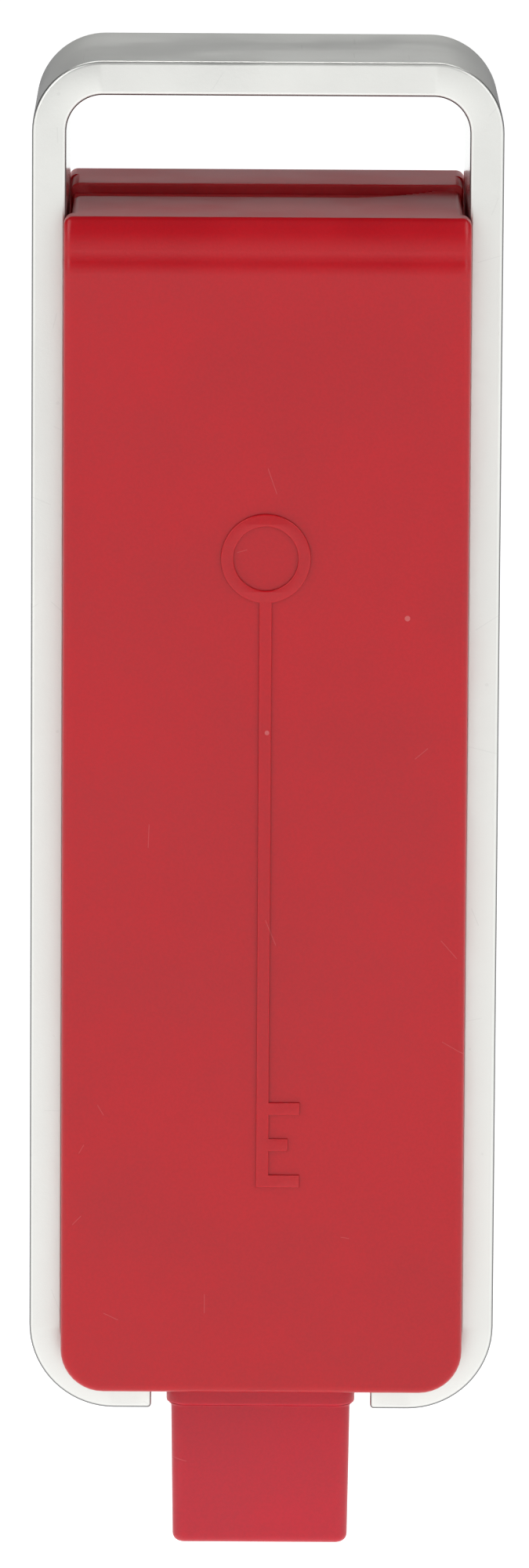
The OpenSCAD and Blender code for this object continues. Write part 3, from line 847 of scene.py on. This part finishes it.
@dataclass
class FrontShell(BodyHalf):
    """Front half of the red body: a flange over the band, a soft brow and ledge, and a nail groove."""

    front: float = -9.2
    flange_back: float = -7.25
    split: float = 3.3
    cavity_front: float = -7.8
    brow: float = 1.5
    brow_in: float = 0.48
    lean: float = 0.06
    ledge_from: float = 1.68
    ledge_peak: float = 2.3
    ledge_to: float = 2.9
    ledge_drop: float = 0.13
    groove_front: float = 0.1
    groove_turn: float = 3.9
    groove_end: float = 8.6
    groove_dip: float = 0.22
    columns: int = 56

    def face_back(self, z: float) -> float:
        """How far the front face lies behind its flat part at a height."""
        drop = self.top - z
        back = 0.0
        if drop < self.brow:
            share = 1 - max(drop, 0.0) / self.brow
            back += self.brow_in * (1 - math.sqrt(max(0.0, 1 - share * share)))
        if drop <= self.ledge_from:
            back += self.ledge_drop + self.lean * (self.ledge_from - drop)
        elif drop < self.ledge_to:
            rise = self.ledge_peak - self.ledge_from
            fall = self.ledge_to - self.ledge_peak
            if drop < self.ledge_peak:
                gone = (drop - self.ledge_from) ** 2 / (rise * (rise + fall))
            else:
                gone = 1 - (self.ledge_to - drop) ** 2 / (fall * (rise + fall))
            back += self.ledge_drop * (1 - gone)
        return back

    def stops(self, start: float, end: float) -> list[float]:
        """Heights of the face's rows as shares of the straight side, close together near the top."""
        drops = [self.brow * (1 - math.cos(a)) for a in ramp(15, math.radians(17), math.pi / 2)]
        drops += ramp(26, self.brow + 0.1, self.ledge_to + 0.1)
        drops += [4, 5, 7, 10, 15, 20, 25, 30, 35, 40, 45, 50, 54, 56.5, 57.6]
        shares = [(self.top - drop - start) / (end - start) for drop in drops]
        return sorted(s for s in shares if 0.0 < s < 1.0)

    def groove(self, x: float, y: float) -> float:
        """How far the nail groove lies below the top at a place."""
        along = max(0.0, (x - self.groove_turn) / (self.groove_end - self.groove_turn))
        start = self.groove_front + (self.split - self.groove_front) * along * along
        step = min(1.0, max(0.0, (y - start) / 0.25))
        return self.groove_dip * step * step * (3 - 2 * step)

    def build(self, material: Material) -> Piece:
        """Makes the shell.

        Args:
            material: the shell's plastic.

        Returns:
            The new piece.
        """
        skin = Skin()
        face = Outline(self.width - 2 * self.edge, self.bottom + self.edge, self.top,
                       self.corner - self.edge, 0.05)
        stops = self.stops(face.z0 + face.rb, face.z1 - face.rt)
        rows = [[(x, self.front + self.face_back(z), z) for x, z in row]
                for row in face.rows(stops, self.columns)]
        rings = [skin.lid(rows)]
        for out, down in quarter(self.edge, 8)[1:]:
            loop = face.grown(out, 0.0).loop(stops, self.columns)
            rings.append(skin.ring((x, self.front + down + self.face_back(z), z) for x, z in loop))
        outer = face.grown(self.edge, 0.0)
        core, cavity = self.core(), self.cavity()
        plan = [(outer, self.flange_back - 0.12, 0.0), (outer.grown(-0.1, 0.0), self.flange_back, 0.0),
                (core.grown(0.06, 0.0), self.flange_back, 0.0), (core, self.flange_back + 0.06, 0.0)]
        for y in [self.groove_front - 0.1] + ramp(26, self.groove_front, self.split - 0.13):
            plan.append((core, y, 1.0))
        for out, down in reversed(quarter(0.12, 3)[:-1]):
            plan.append((core.grown(out - 0.12, min(0.0, out - 0.12)), self.split - down, 1.0))
        plan += [(cavity.grown(0.1), self.split, 0.0), (cavity, self.split - 0.1, 0.0),
                 (cavity, self.cavity_front + 0.3, 0.0), (cavity.grown(-0.3), self.cavity_front, 0.0)]
        for outline, y, grooved in plan:
            points = []
            for x, z in outline.loop(stops, self.columns):
                near_top = max(0.0, 1 - (self.top - z) / 0.25)
                points.append((x, y, z - grooved * near_top * self.groove(x, y)))
            rings.append(skin.ring(points))
        skin.loft(rings)
        skin.cap(rings[-1])
        return skin.piece("front_shell_moulding", HOUSING, material, ["front_shell"])


@dataclass
class KeySign:
    """The raised sign of a plain key on the front face."""

    face: float = -9.2
    top: float = -21.1
    bow: float = 2.3
    line: float = 0.65
    length: float = 35.0
    rise: float = 0.15
    soft: float = 0.07
    teeth: tuple[Flat, ...] = ((0.0, 1.9), (1.9, 1.3), (3.8, 1.9))

    def outline(self) -> list[Flat]:
        """The sign's outer edge in X and Z, anticlockwise from the stem's left side."""
        half = self.line / 2
        middle = self.top - self.bow
        foot = self.top - self.length
        reach = math.asin(half / self.bow)
        ring = [(self.bow * math.sin(a), middle - self.bow * math.cos(a))
                for a in ramp(56, reach, math.tau - reach)]
        teeth = [(-half, foot)]
        for lift, out in self.teeth:
            low, high = foot + lift, foot + lift + self.line
            teeth += [(half, low), (out, low), (out, high), (half, high)]
        return teeth + ring

    def build(self, material: Material) -> Piece:
        """Makes the sign as a filled outline with soft edges, its foot sunk into the face.

        Args:
            material: the shell's plastic.

        Returns:
            The new piece.
        """
        curve = bpy.data.curves.new("front_key_sign", "CURVE")
        curve.dimensions = "2D"
        curve.fill_mode = "BOTH"
        sink = 0.06
        curve.extrude = (self.rise + sink) / 2 * MM - self.soft * MM
        curve.bevel_depth = self.soft * MM
        curve.bevel_resolution = 3
        curve.offset = -self.soft * MM
        inner = self.bow - self.line
        hole = [(inner * math.cos(a), self.top - self.bow + inner * math.sin(a))
                for a in ramp(48, 0, math.tau)[:-1]]
        for points in (self.outline(), hole):
            spline = curve.splines.new("POLY")
            spline.points.add(len(points) - 1)
            for point, (x, z) in zip(spline.points, points):
                point.co = (x * MM, z * MM, 0.0, 1.0)
            spline.use_cyclic_u = True
        maker = bpy.data.objects.new("key_sign_outline", curve)
        link(maker)
        bpy.context.view_layer.update()
        mesh = bpy.data.meshes.new_from_object(maker.evaluated_get(bpy.context.evaluated_depsgraph_get()))
        bpy.data.objects.remove(maker)
        mesh.name = "front_key_sign"
        mesh.transform(Matrix.Rotation(math.radians(90), 4, "X"))
        mesh.transform(Matrix.Translation((0, (self.face - (self.rise - sink) / 2) * MM, 0)))
        clean(mesh, 0.002)
        obj = bpy.data.objects.new("front_key_sign", mesh)
        link(obj)
        finish_piece(obj, HOUSING, material, [], 50.0, True)
        return obj


@dataclass
class RearCover(BodyHalf):
    """Rear half of the red body, which pulls straight off on four snap legs."""

    core_width: float = 20.3
    cavity_width: float = 17.9
    top: float = -5.68
    cavity_top: float = -6.98
    rear: float = 10.3
    flange_front: float = 7.25
    split: float = 3.35
    cavity_rear: float = 9.0
    leg_heights: tuple[float, ...] = (-20.0, -50.0)
    leg_width: float = 3.0
    leg_tip: float = 0.9
    leg_out: float = 8.6
    leg_thick: float = 0.7
    root_front: float = 3.9
    root_rear: float = 5.6
    columns: int = 40

    def build(self, material: Material) -> list[Piece]:
        """Makes the cover and its snap legs.

        Args:
            material: the cover's plastic.

        Returns:
            The new pieces.
        """
        skin = Skin()
        stops = [0.01, 0.03, 0.08, 0.2, 0.35, 0.5, 0.65, 0.8, 0.92, 0.97, 0.99]
        inner_edge = 0.05
        face = Outline(self.width - 2 * self.edge, self.bottom + self.edge, self.top - self.edge,
                       self.corner - self.edge, inner_edge)
        rings = [skin.lid([[(x, self.rear, z) for x, z in row] for row in face.rows(stops, self.columns)])]
        plan = [(face.grown(out), self.rear - down) for out, down in quarter(self.edge, 8)[1:]]
        outer = face.grown(self.edge)
        core, cavity = self.core(), self.cavity()
        plan += [(outer, self.flange_front + 0.12), (outer.grown(-0.1, 0.0), self.flange_front),
                 (core.grown(0.06, 0.0), self.flange_front), (core, self.flange_front - 0.06)]
        plan += [(core.grown(out - 0.15), self.split + down) for out, down in reversed(quarter(0.15, 3))]
        plan += [(cavity.grown(0.1), self.split), (cavity, self.split + 0.1),
                 (cavity, self.cavity_rear - 0.3), (cavity.grown(-0.3), self.cavity_rear)]
        rings += [skin.ring((x, y, z) for x, z in outline.loop(stops, self.columns)) for outline, y in plan]
        skin.loft(rings)
        skin.cap(rings[-1])
        cover = skin.piece("rear_cover_moulding", COVER, material, ["rear_cover"])
        return [cover, self.build_legs(material)]

    def build_legs(self, material: Material) -> Piece:
        """Makes the four snap legs as one piece."""
        skin = Skin()
        inner = self.leg_out - self.leg_thick
        wall = self.cavity_width / 2 + 0.1
        outline = [(inner, self.leg_tip), (self.leg_out - 0.25, self.leg_tip),
                   (self.leg_out, self.leg_tip + 0.5), (self.leg_out, self.root_front - 0.2),
                   (wall, self.root_front), (wall, self.root_rear), (inner, self.root_rear - 1.0)]
        for side in (-1, 1):
            for z in self.leg_heights:
                skin.prism(outline, lambda u, v, h, s=side, at=z: (s * u, v, at + h),
                           -self.leg_width / 2, self.leg_width / 2, 0.12)
        return skin.piece("rear_cover_legs", COVER, material, [], sharp=30)


# ---- Band ----

@dataclass
class KeyBand:
    """One metal strip bent round the body: loop at the top, two hook ends below."""

    width: float = 24.0
    length: float = 70.0
    depth: float = 14.4
    thick: float = 1.75
    loop_r: float = 3.6
    hook_r: float = 4.4
    hook_gap: float = 11.35
    edge: float = 0.2
    end_edge: float = 0.2

    def path(self) -> list[tuple[Flat, Flat]]:
        """Points along the middle of the strip in X and Z, each with its outward direction."""
        half = self.width / 2
        low = self.thick - self.length
        end = self.hook_gap / 2 + self.end_edge
        mid_low, mid_high = low + self.thick / 2, self.thick / 2
        right: list[tuple[Flat, Flat]] = [((x, mid_low), (0.0, -1.0))
                                          for x in ramp(3, end, half - self.hook_r)]
        for a in ramp(18, 0, math.pi / 2)[1:]:
            out = (math.sin(a), -math.cos(a))
            reach = self.hook_r - self.thick / 2
            right.append(((half - self.hook_r + reach * out[0], low + self.hook_r + reach * out[1]), out))
        for z in ramp(14, low + self.hook_r, self.thick - self.loop_r)[1:]:
            right.append(((half - self.thick / 2, z), (1.0, 0.0)))
        for a in ramp(18, 0, math.pi / 2)[1:]:
            out = (math.cos(a), math.sin(a))
            reach = self.loop_r - self.thick / 2
            right.append(((half - self.loop_r + reach * out[0],
                           self.thick - self.loop_r + reach * out[1]), out))
        right.append(((0.0, mid_high), (0.0, 1.0)))
        left = [((-x, z), (-u, v)) for (x, z), (u, v) in reversed(right[:-1])]
        return right + left

    def section(self, shrink: float) -> list[Flat]:
        """The strip's cross-section as (outward, depth) pairs, drawn in by shrink."""
        radius = max(0.05, self.edge - shrink)
        return rounded_block(self.thick - 2 * shrink, self.depth - 2 * shrink, radius, 6)

    def build(self, material: Material, inside: Material) -> Piece:
        """Makes the band.

        Args:
            material: the blasted metal of its outside and its edges.
            inside: the smoother metal of its inner surface.

        Returns:
            The new piece.
        """
        skin = Skin()
        path = self.path()
        rings: list[list[int]] = []

        def station(point: Flat, out: Flat, shrink: float, ahead: float) -> None:
            """Adds one cross-section, moved along X by ahead."""
            rings.append(skin.ring((point[0] + n * out[0] + ahead, y, point[1] + n * out[1])
                                   for n, y in self.section(shrink)))

        for out, down in quarter(self.end_edge, 4)[:-1]:
            station(*path[0], self.end_edge - out, down - self.end_edge)
        for point, out in path:
            station(point, out, 0.0, 0.0)
        for out, down in reversed(quarter(self.end_edge, 4)[:-1]):
            station(*path[-1], self.end_edge - out, self.end_edge - down)
        skin.close(rings)
        band = skin.piece("key_band_strip", HOUSING, material, ["key_band"])
        band.data.materials.append(inside)
        middle = Vector((0.0, 0.0, (self.thick - self.length / 2) * MM))
        reach = (self.width / 2 - self.thick) * MM
        for face in band.data.polygons:
            off = face.center - middle
            if abs(face.normal.y) < 0.3 and face.normal.dot(off) < 0 and abs(off.x) < reach + 0.05 * MM:
                face.material_index = 1
        return band


# ---- Nose and its contacts ----

@dataclass
class ContactNose:
    """Red nose with a collar above it and three bores for the contact pins."""

    middle_y: float = -1.4
    width: float = 9.3
    depth: float = 7.4
    taper: float = 0.2
    corner: float = 0.65
    end: float = -76.0
    end_edge: float = 0.45
    collar_width: float = 9.8
    collar_depth: float = 8.0
    collar_corner: float = 1.2
    collar_bottom: float = -68.55
    flange_width: float = 12.6
    flange_depth: float = 9.2
    flange_bottom: float = -64.5
    flange_top: float = -63.3
    bores: tuple[float, ...] = (-2.6, 0.0, 2.6)
    bore: float = 0.82
    bore_top: float = -66.95
    bore_edge: float = 0.08

    def rings(self) -> list[tuple[float, float, float, float]]:
        """(width, depth, corner, height) of each cross-section, from the inner flange down."""
        plan = [(self.flange_width - 0.2, self.flange_depth - 0.2, self.collar_corner, self.flange_top),
                (self.flange_width, self.flange_depth, self.collar_corner, self.flange_top - 0.1),
                (self.flange_width, self.flange_depth, self.collar_corner, self.flange_bottom + 0.05),
                (self.flange_width - 0.1, self.flange_depth - 0.1, self.collar_corner, self.flange_bottom),
                (self.collar_width, self.collar_depth, self.collar_corner, self.flange_bottom)]
        low_edge = 0.28
        for out, down in quarter(low_edge, 5):
            inset = 2 * (low_edge - math.sqrt(max(0.0, low_edge ** 2 - down ** 2)))
            plan.append((self.collar_width - inset, self.collar_depth - inset, self.collar_corner - inset / 3,
                         self.collar_bottom + low_edge - out))
        plan[-6:] = sorted(plan[-6:], key=lambda row: -row[3])
        plan.append((self.width + 0.22, self.depth + 0.22, self.corner + 0.11, self.collar_bottom))
        plan.append((self.width + 0.05, self.depth + 0.05, self.corner + 0.02, self.collar_bottom - 0.06))
        plan.append((self.width, self.depth, self.corner, self.collar_bottom - 0.16))
        last = (self.width - self.taper, self.depth - self.taper)
        plan.append((*last, self.corner, self.end + self.end_edge))
        for out, down in quarter(self.end_edge, 6)[1:]:
            drop, inset = out, down
            plan.append((last[0] - 2 * inset, last[1] - 2 * inset, max(0.12, self.corner - inset),
                         self.end + self.end_edge - drop))
        return plan

    def build(self, material: Material) -> Piece:
        """Makes the nose.

        Args:
            material: the nose's plastic.

        Returns:
            The new piece.
        """
        skin = Skin()
        rings = [skin.ring((x, self.middle_y + y, z) for x, y in rounded_block(w, d, r, 8))
                 for w, d, r, z in self.rings()]
        skin.loft(rings)
        skin.cap(rings[0])
        mouths = []
        sides = 36
        for x in self.bores:
            edge = self.bore_edge
            steps = [(self.bore + edge, self.end), (self.bore + edge * 0.3, self.end + edge * 0.3),
                     (self.bore, self.end + edge), (self.bore, self.bore_top)]
            bore = [skin.ring((x + r * math.cos(math.tau * k / sides),
                               self.middle_y + r * math.sin(math.tau * k / sides), z)
                              for k in range(sides)) for r, z in steps]
            skin.loft(bore)
            skin.cap(bore[-1])
            mouths.append(bore[0])
        self.close_end(skin, rings[-1], mouths)
        return skin.piece("contact_nose_moulding", HOUSING, material, ["contact_nose"])

    def close_end(self, skin: Skin, edge: Sequence[int], mouths: Sequence[Sequence[int]]) -> None:
        """Fills the nose's end face round the bores.

        Args:
            skin: the mesh in the making.
            edge: ring of the end face's outer edge.
            mouths: ring of each bore's mouth.
        """
        work = bmesh.new()
        made: dict[int, bmesh.types.BMVert] = {}
        for ring in (edge, *mouths):
            for i in ring:
                made[i] = work.verts.new(Vector(skin.points[i]))
        edges = []
        for ring in (edge, *mouths):
            for i, j in zip(ring, list(ring[1:]) + [ring[0]]):
                edges.append(work.edges.new((made[i], made[j])))
        filled = bmesh.ops.triangle_fill(work, use_beauty=True, use_dissolve=False, edges=edges)
        number = {vert: i for i, vert in made.items()}
        for item in filled["geom"]:
            if isinstance(item, bmesh.types.BMFace):
                skin.faces.append(tuple(number[v] for v in item.verts))
        work.free()


@dataclass
class NoseSeal:
    """Flat rubber gasket under the nose's inner flange."""

    middle_y: float = -1.4
    outer: tuple[float, float, float] = (12.6, 9.2, 1.2)
    inner: tuple[float, float, float] = (9.95, 8.15, 1.2)
    low: float = -65.08
    high: float = -64.52
    edge: float = 0.12

    def build(self, material: Material) -> Piece:
        """Makes the gasket with rounded edges."""
        skin = Skin()
        edge = self.edge
        heights = [(2.0 * edge, self.low), (0.6 * edge, self.low + 0.3 * edge), (0.0, self.low + edge),
                   (0.0, self.high - edge), (0.6 * edge, self.high - 0.3 * edge), (2.0 * edge, self.high)]
        plan = [(self.outer, -pinch, z) for pinch, z in heights]
        plan += [(self.inner, pinch, z) for pinch, z in reversed(heights)]
        rings = [skin.ring((x, self.middle_y + y, z) for x, y in rounded_block(w + grow, d + grow, r, 8))
                 for (w, d, r), grow, z in plan]
        skin.loft(rings)
        skin.bridge(rings[-1], rings[0])
        return skin.piece("nose_seal_ring", HOUSING, material, ["nose_seal"])


@dataclass
class ContactPins:
    """Three spring-loaded pins: the coils are rebuilt here, barrels and plungers are CAD nodes."""

    places: tuple[tuple[str, float], ...] = (("left", -2.6), ("centre", 0.0), ("right", 2.6))
    middle_y: float = -1.4
    coil_r: float = 0.38
    wire_r: float = 0.085
    coil_low: float = -72.87
    coil_high: float = -67.93
    turns: float = 9.0
    travel: float = 0.6

    def build(self, wire: Material, brass: Material) -> list[Piece]:
        """Makes the three coils and dresses the barrels and plungers.

        Args:
            wire: the coils' spring steel.
            brass: the barrels' and plungers' plated brass.

        Returns:
            The new pieces.
        """
        made = []
        low, high = self.coil_low + self.wire_r, self.coil_high - self.wire_r
        for side, x in self.places:
            skin = Skin()
            count = int(self.turns * 20)
            skin.tube(coil_path((x, self.middle_y), self.turns, (self.coil_r, self.coil_r), low, high, count),
                      self.wire_r, 8)
            obj = skin.piece(f"pin_coil_{side}", f"{side}_pin", wire, [f"pin_spring_{side}"],
                             weighted=False)
            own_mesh(obj)
            made.append(obj)
            dress_node(f"pin_barrel_{side}", Slot.PIN, brass, 0.04)
            dress_node(f"pin_plunger_{side}", Slot.PIN, brass, 0.04)
        return made


def coil_path(centre: Flat, turns: float, radii: Flat, low: float, high: float, count: int) -> list[Vector]:
    """Middle line of a coil whose end turns lie flat.

    Args:
        centre: the axis, as x and y.
        turns: number of turns.
        radii: radius at the low and the high end.
        low: height of the low end.
        high: height of the high end.
        count: number of steps along it.

    Returns:
        The line's points.
    """
    flat = 0.6 / turns
    points = []
    for t in ramp(count):
        climb = min(1.0, max(0.0, (t - flat) / (1 - 2 * flat)))
        radius = radii[0] + (radii[1] - radii[0]) * t
        a = math.tau * turns * t
        points.append(Vector((centre[0] + radius * math.cos(a), centre[1] + radius * math.sin(a),
                              low + (high - low) * climb)))
    return points


# ---- Battery ----

@dataclass
class Battery:
    """Small cylinder cell with a shrunk sleeve, a crimp groove, a nub and a conical spring below."""

    middle_y: float = 1.2
    radius: float = 6.45
    low: float = -34.4
    high: float = -9.3
    nub_r: float = 2.6
    nub_top: float = -8.9
    crimp: float = -10.9
    spring_low: float = -36.56
    spring_high: float = -34.42
    spring_wire: float = 0.3
    spring_radii: Flat = (3.3, 2.0)
    spring_turns: float = 3.5

    def profile(self) -> list[Flat]:
        """(radius, height) pairs from the foot's middle to the nub's middle."""
        r, low, high = self.radius, self.low, self.high
        foot = [(0.0, low + 0.05), (4.6, low + 0.05), (4.9, low), (5.5, low), (5.7, low + 0.06),
                (5.75, low + 0.12), (5.8, low + 0.03), (6.0, low)]
        shoulder = [(6.0 + out, low + up) for out, up in quarter(0.45, 6)]
        waist = [(r, self.crimp - 0.7), (r - 0.06, self.crimp - 0.5), (r - 0.26, self.crimp - 0.22),
                 (r - 0.32, self.crimp), (r - 0.26, self.crimp + 0.22), (r - 0.06, self.crimp + 0.5),
                 (r, self.crimp + 0.7)]
        brow = [(r - 0.4 + 0.4 * math.cos(a), high - 0.4 + 0.4 * math.sin(a))
                for a in ramp(6, 0, math.pi / 2)]
        crown = [(5.3, high), (5.2, high - 0.12), (5.1, high - 0.2), (3.3, high - 0.2), (3.1, high - 0.16),
                 (self.nub_r + 0.1, high), (self.nub_r, high + 0.1), (self.nub_r, self.nub_top - 0.15),
                 (self.nub_r - 0.05, self.nub_top - 0.05), (self.nub_r - 0.18, self.nub_top),
                 (0.0, self.nub_top)]
        return foot + shoulder + waist + brow + crown

    def build(self, wrap: Material, wire: Material,
              strip: Material) -> list[Piece]:
        """Makes the cell and its spring and dresses the two contact strips.

        Args:
            wrap: the cell's sleeve and steel.
            wire: the spring's steel.
            strip: the strips' nickel.

        Returns:
            The new pieces.
        """
        cell = Skin()
        cell.turned(self.profile(), (0.0, self.middle_y), 72)
        made = [cell.piece("battery_cell", HOUSING, wrap, ["battery"], sharp=50)]
        spring = Skin()
        low, high = self.spring_low + self.spring_wire, self.spring_high - self.spring_wire
        spring.tube(coil_path((0.0, self.middle_y), self.spring_turns, self.spring_radii, low, high, 110),
                    self.spring_wire, 12)
        made.append(spring.piece("battery_spring", HOUSING, wire, ["negative_spring"],
                                 weighted=False))
        dress_node("positive_contact", Slot.STRIP, strip, 0.06)
        dress_node("negative_plate", Slot.STRIP, strip, 0.06)
        return made


# ---- Electronics ----

@dataclass
class Electronics:
    """Frame, screws, board and board parts, all carried over from the CAD."""

    chips: tuple[str, ...] = ("controller_chip", "memory_chip", "regulator_chip")

    def dress(self) -> None:
        """Gives every carried-over node its material and soft edges."""
        black = MattBlack("black_frame_plastic", (0.018, 0.018, 0.02), 0.5, 3500.0, 0.01).make()
        steel = PlatedMetal("zinc_screw_steel", (0.6, 0.61, 0.64), (0.42, 0.43, 0.46), 0.3, 3000.0).make()
        board = SolderMask("green_board_mask", (0.008, 0.11, 0.035), (0.03, 0.2, 0.06)).make()
        resin = MattBlack("chip_resin", (0.012, 0.012, 0.013), 0.55, 9000.0, 0.006).make()
        ferrite = MattBlack("dark_ferrite", (0.045, 0.045, 0.048), 0.42, 7000.0, 0.01).make()
        capacitor = Ceramic("capacitor_clay", (0.42, 0.27, 0.14), (-6.2, 6.2), 0.62).make()
        resistor = Ceramic("resistor_clay", (0.02, 0.02, 0.022), (-57.2,), 0.36).make()
        can = PlatedMetal("crystal_can", (0.8, 0.79, 0.77), (0.6, 0.59, 0.58), 0.2, 4000.0).make()
        dress_node("inner_frame", Slot.FRAME, black, 0.12)
        dress_node("frame_screws", Slot.SCREW, steel, 0.05)
        dress_node("circuit_board", Slot.BOARD, board, 0.05)
        for name in self.chips:
            dress_node(name, Slot.CHIP, resin, 0.05)
        dress_node("power_coil", Slot.COIL, ferrite, 0.08)
        dress_node("chip_capacitors", Slot.CAPACITOR, capacitor, 0.06)
        dress_node("chip_resistors", Slot.RESISTOR, resistor, 0.04)
        dress_node("timing_crystal", Slot.CAN, can, 0.12)


# ---- Studio ----

@dataclass
class Studio:
    """Pale floor, soft lights, pale surroundings and the camera. Sizes here are in metres."""

    floor_z: float = -0.15
    floor_half: float = 6.0
    floor_glow: float = 0.96
    look_at: Point = (0.0, -0.0092, -0.03505)
    distance: float = 0.5388
    pitch: float = 9.9
    yaw: float = 0.2
    roll: float = 0.35
    lens_mm: float = 242.1

    def build(self) -> None:
        """Makes everything that isn't the object."""
        self.build_floor()
        self.build_world()
        self.build_lights()
        self.build_camera()
        view = bpy.context.scene.view_settings
        view.view_transform = "Standard"
        view.look = "None"

    def build_floor(self) -> None:
        """A wide, plain, pale floor, lit evenly like a light table and clear from underneath."""
        half, z = self.floor_half, self.floor_z
        mesh = bpy.data.meshes.new("studio_floor")
        mesh.from_pydata([(-half, -half, z), (half, -half, z), (half, half, z), (-half, half, z)], [],
                         [(0, 1, 2, 3)])
        floor = bpy.data.objects.new("studio_floor", mesh)
        link(floor)
        s = Surface.start("studio_floor_paint")
        slow = s.effect(Effect.BLOTCH, cells=2.0)
        underside = s.add("ShaderNodeNewGeometry").outputs["Backfacing"]
        s.set(base_color=s.blend(slow, (0.48, 0.48, 0.48), (0.5, 0.5, 0.5)), roughness=0.9,
              emission_color=rgb(1.0, 1.0, 1.0), emission_strength=self.floor_glow,
              alpha=s.minus(1.0, underside))
        floor.data.materials.append(s.material)

    def build_world(self) -> None:
        """Surroundings that are pale at the horizon and darker overhead."""
        world = bpy.data.worlds.new("studio_surroundings")
        bpy.context.scene.world = world
        world.use_nodes = True
        world.node_tree.nodes.clear()
        t = Tree(world.node_tree)
        toward = t.add("ShaderNodeTexCoord").outputs["Generated"]
        up = t.add("ShaderNodeSeparateXYZ", vector=toward).outputs[2]
        level = t.span(up, 0.0, 0.32, 0.68, 0.03)
        glow = t.add("ShaderNodeBackground", color=rgb(1.0, 1.0, 1.0), strength=level)
        out = t.add("ShaderNodeOutputWorld")
        t.tree.links.new(glow.outputs[0], out.inputs["Surface"])

    def add_light(self, name: str, place: Point, aim: Point, size: Flat, power: float) -> None:
        """Adds one soft rectangular light.

        Args:
            name: the light's name.
            place: where it stands.
            aim: what it points at.
            size: its width and height.
            power: its power in watts.
        """
        data = bpy.data.lights.new(name, "AREA")
        data.shape = "RECTANGLE"
        data.size, data.size_y = size
        data.energy = power
        light = bpy.data.objects.new(name, data)
        light.location = place
        light.rotation_euler = (Vector(aim) - Vector(place)).to_track_quat("-Z", "Y").to_euler()
        link(light)

    def build_lights(self) -> None:
        """Two big side lights and one behind."""
        middle = (0.0, 0.0, -0.035)
        self.add_light("left_softbox", (-0.9, -0.85, 0.75), middle, (1.0, 1.3), 8.6)
        self.add_light("right_softbox", (0.9, -0.85, 0.75), middle, (1.0, 1.3), 8.2)
        self.add_light("rear_softbox", (0.0, 0.8, 1.2), middle, (1.2, 0.5), 7.0)

    def build_camera(self) -> None:
        """A long-lens camera a little above the object's middle."""
        data = bpy.data.cameras.new("studio_camera")
        data.sensor_fit = "VERTICAL"
        data.sensor_height = 36.0
        data.lens = self.lens_mm
        data.clip_start = 0.01
        data.clip_end = 50.0
        camera = bpy.data.objects.new("studio_camera", data)
        pitch, yaw = math.radians(self.pitch), math.radians(self.yaw)
        ahead = Vector((math.sin(yaw) * math.cos(pitch), math.cos(yaw) * math.cos(pitch), -math.sin(pitch)))
        turn = ahead.to_track_quat("-Z", "Y").to_matrix() @ Matrix.Rotation(math.radians(self.roll), 3, "Z")
        camera.matrix_world = Matrix.Translation(Vector(self.look_at) - self.distance * ahead) @ turn.to_4x4()
        link(camera)
        bpy.context.scene.camera = camera


def main() -> None:
    """Builds every piece in order."""
    logging.basicConfig(level=logging.INFO, format="%(name)s: %(message)s")
    for build in (build_grain, build_blotches, build_specks, build_scratches, build_wear):
        build()
    red = MouldedPlastic("red_shell_plastic", (0.492, 0.003, 0.0105), (0.62, 0.2, 0.2), rough=(0.28, 0.32),
                         glow_depth=0.7).make()
    # The nose plastic is pinker and a little lighter than the shell's. The pinker tint is its own colour; the
    # lighter base is partly painted light, standing in for light that the translucent nose catches from
    # below.
    nose_red = MouldedPlastic("red_nose_plastic", (0.55, 0.008, 0.026), (0.66, 0.22, 0.22),
                              rough=(0.36, 0.42), glow_depth=0.6).make()
    band = BlastedMetal("satin_band_metal", (0.825, 0.83, 0.8)).make()
    # The band's inner surface gets no painted rim shade.
    inside = BlastedMetal("smooth_band_inside", (0.88, 0.91, 0.89), rough=(0.12, 0.2), grain_mm=0.001,
                          painted_rim_shade=0.0).make()
    rubber = MattBlack("black_seal_rubber", (0.015, 0.015, 0.016), 0.7).make()
    wire = PlatedMetal("spring_wire_steel", (0.62, 0.62, 0.64), (0.4, 0.4, 0.43), 0.28, 3000.0).make()
    brass = PlatedMetal("plated_pin_brass", (0.85, 0.6, 0.25), (0.62, 0.42, 0.17), 0.28, 4000.0).make()
    strip = PlatedMetal("nickel_contact_strip", (0.72, 0.7, 0.66), (0.52, 0.5, 0.47), 0.28, 2500.0).make()
    wrap = CellWrap("battery_sleeve", (0.02, 0.035, 0.09), (0.55, 0.56, 0.58), (0.62, 0.62, 0.63), 1.2,
                    5.6, -34.2, -9.6).make()
    FrontShell().build(red)
    KeySign().build(red)
    RearCover().build(red)
    KeyBand().build(band, inside)
    ContactNose().build(nose_red)
    NoseSeal().build(rubber)
    ContactPins().build(wire, brass)
    Battery().build(wrap, wire, strip)
    Electronics().dress()
    Studio().build()


if __name__ == "__main__":
    main()
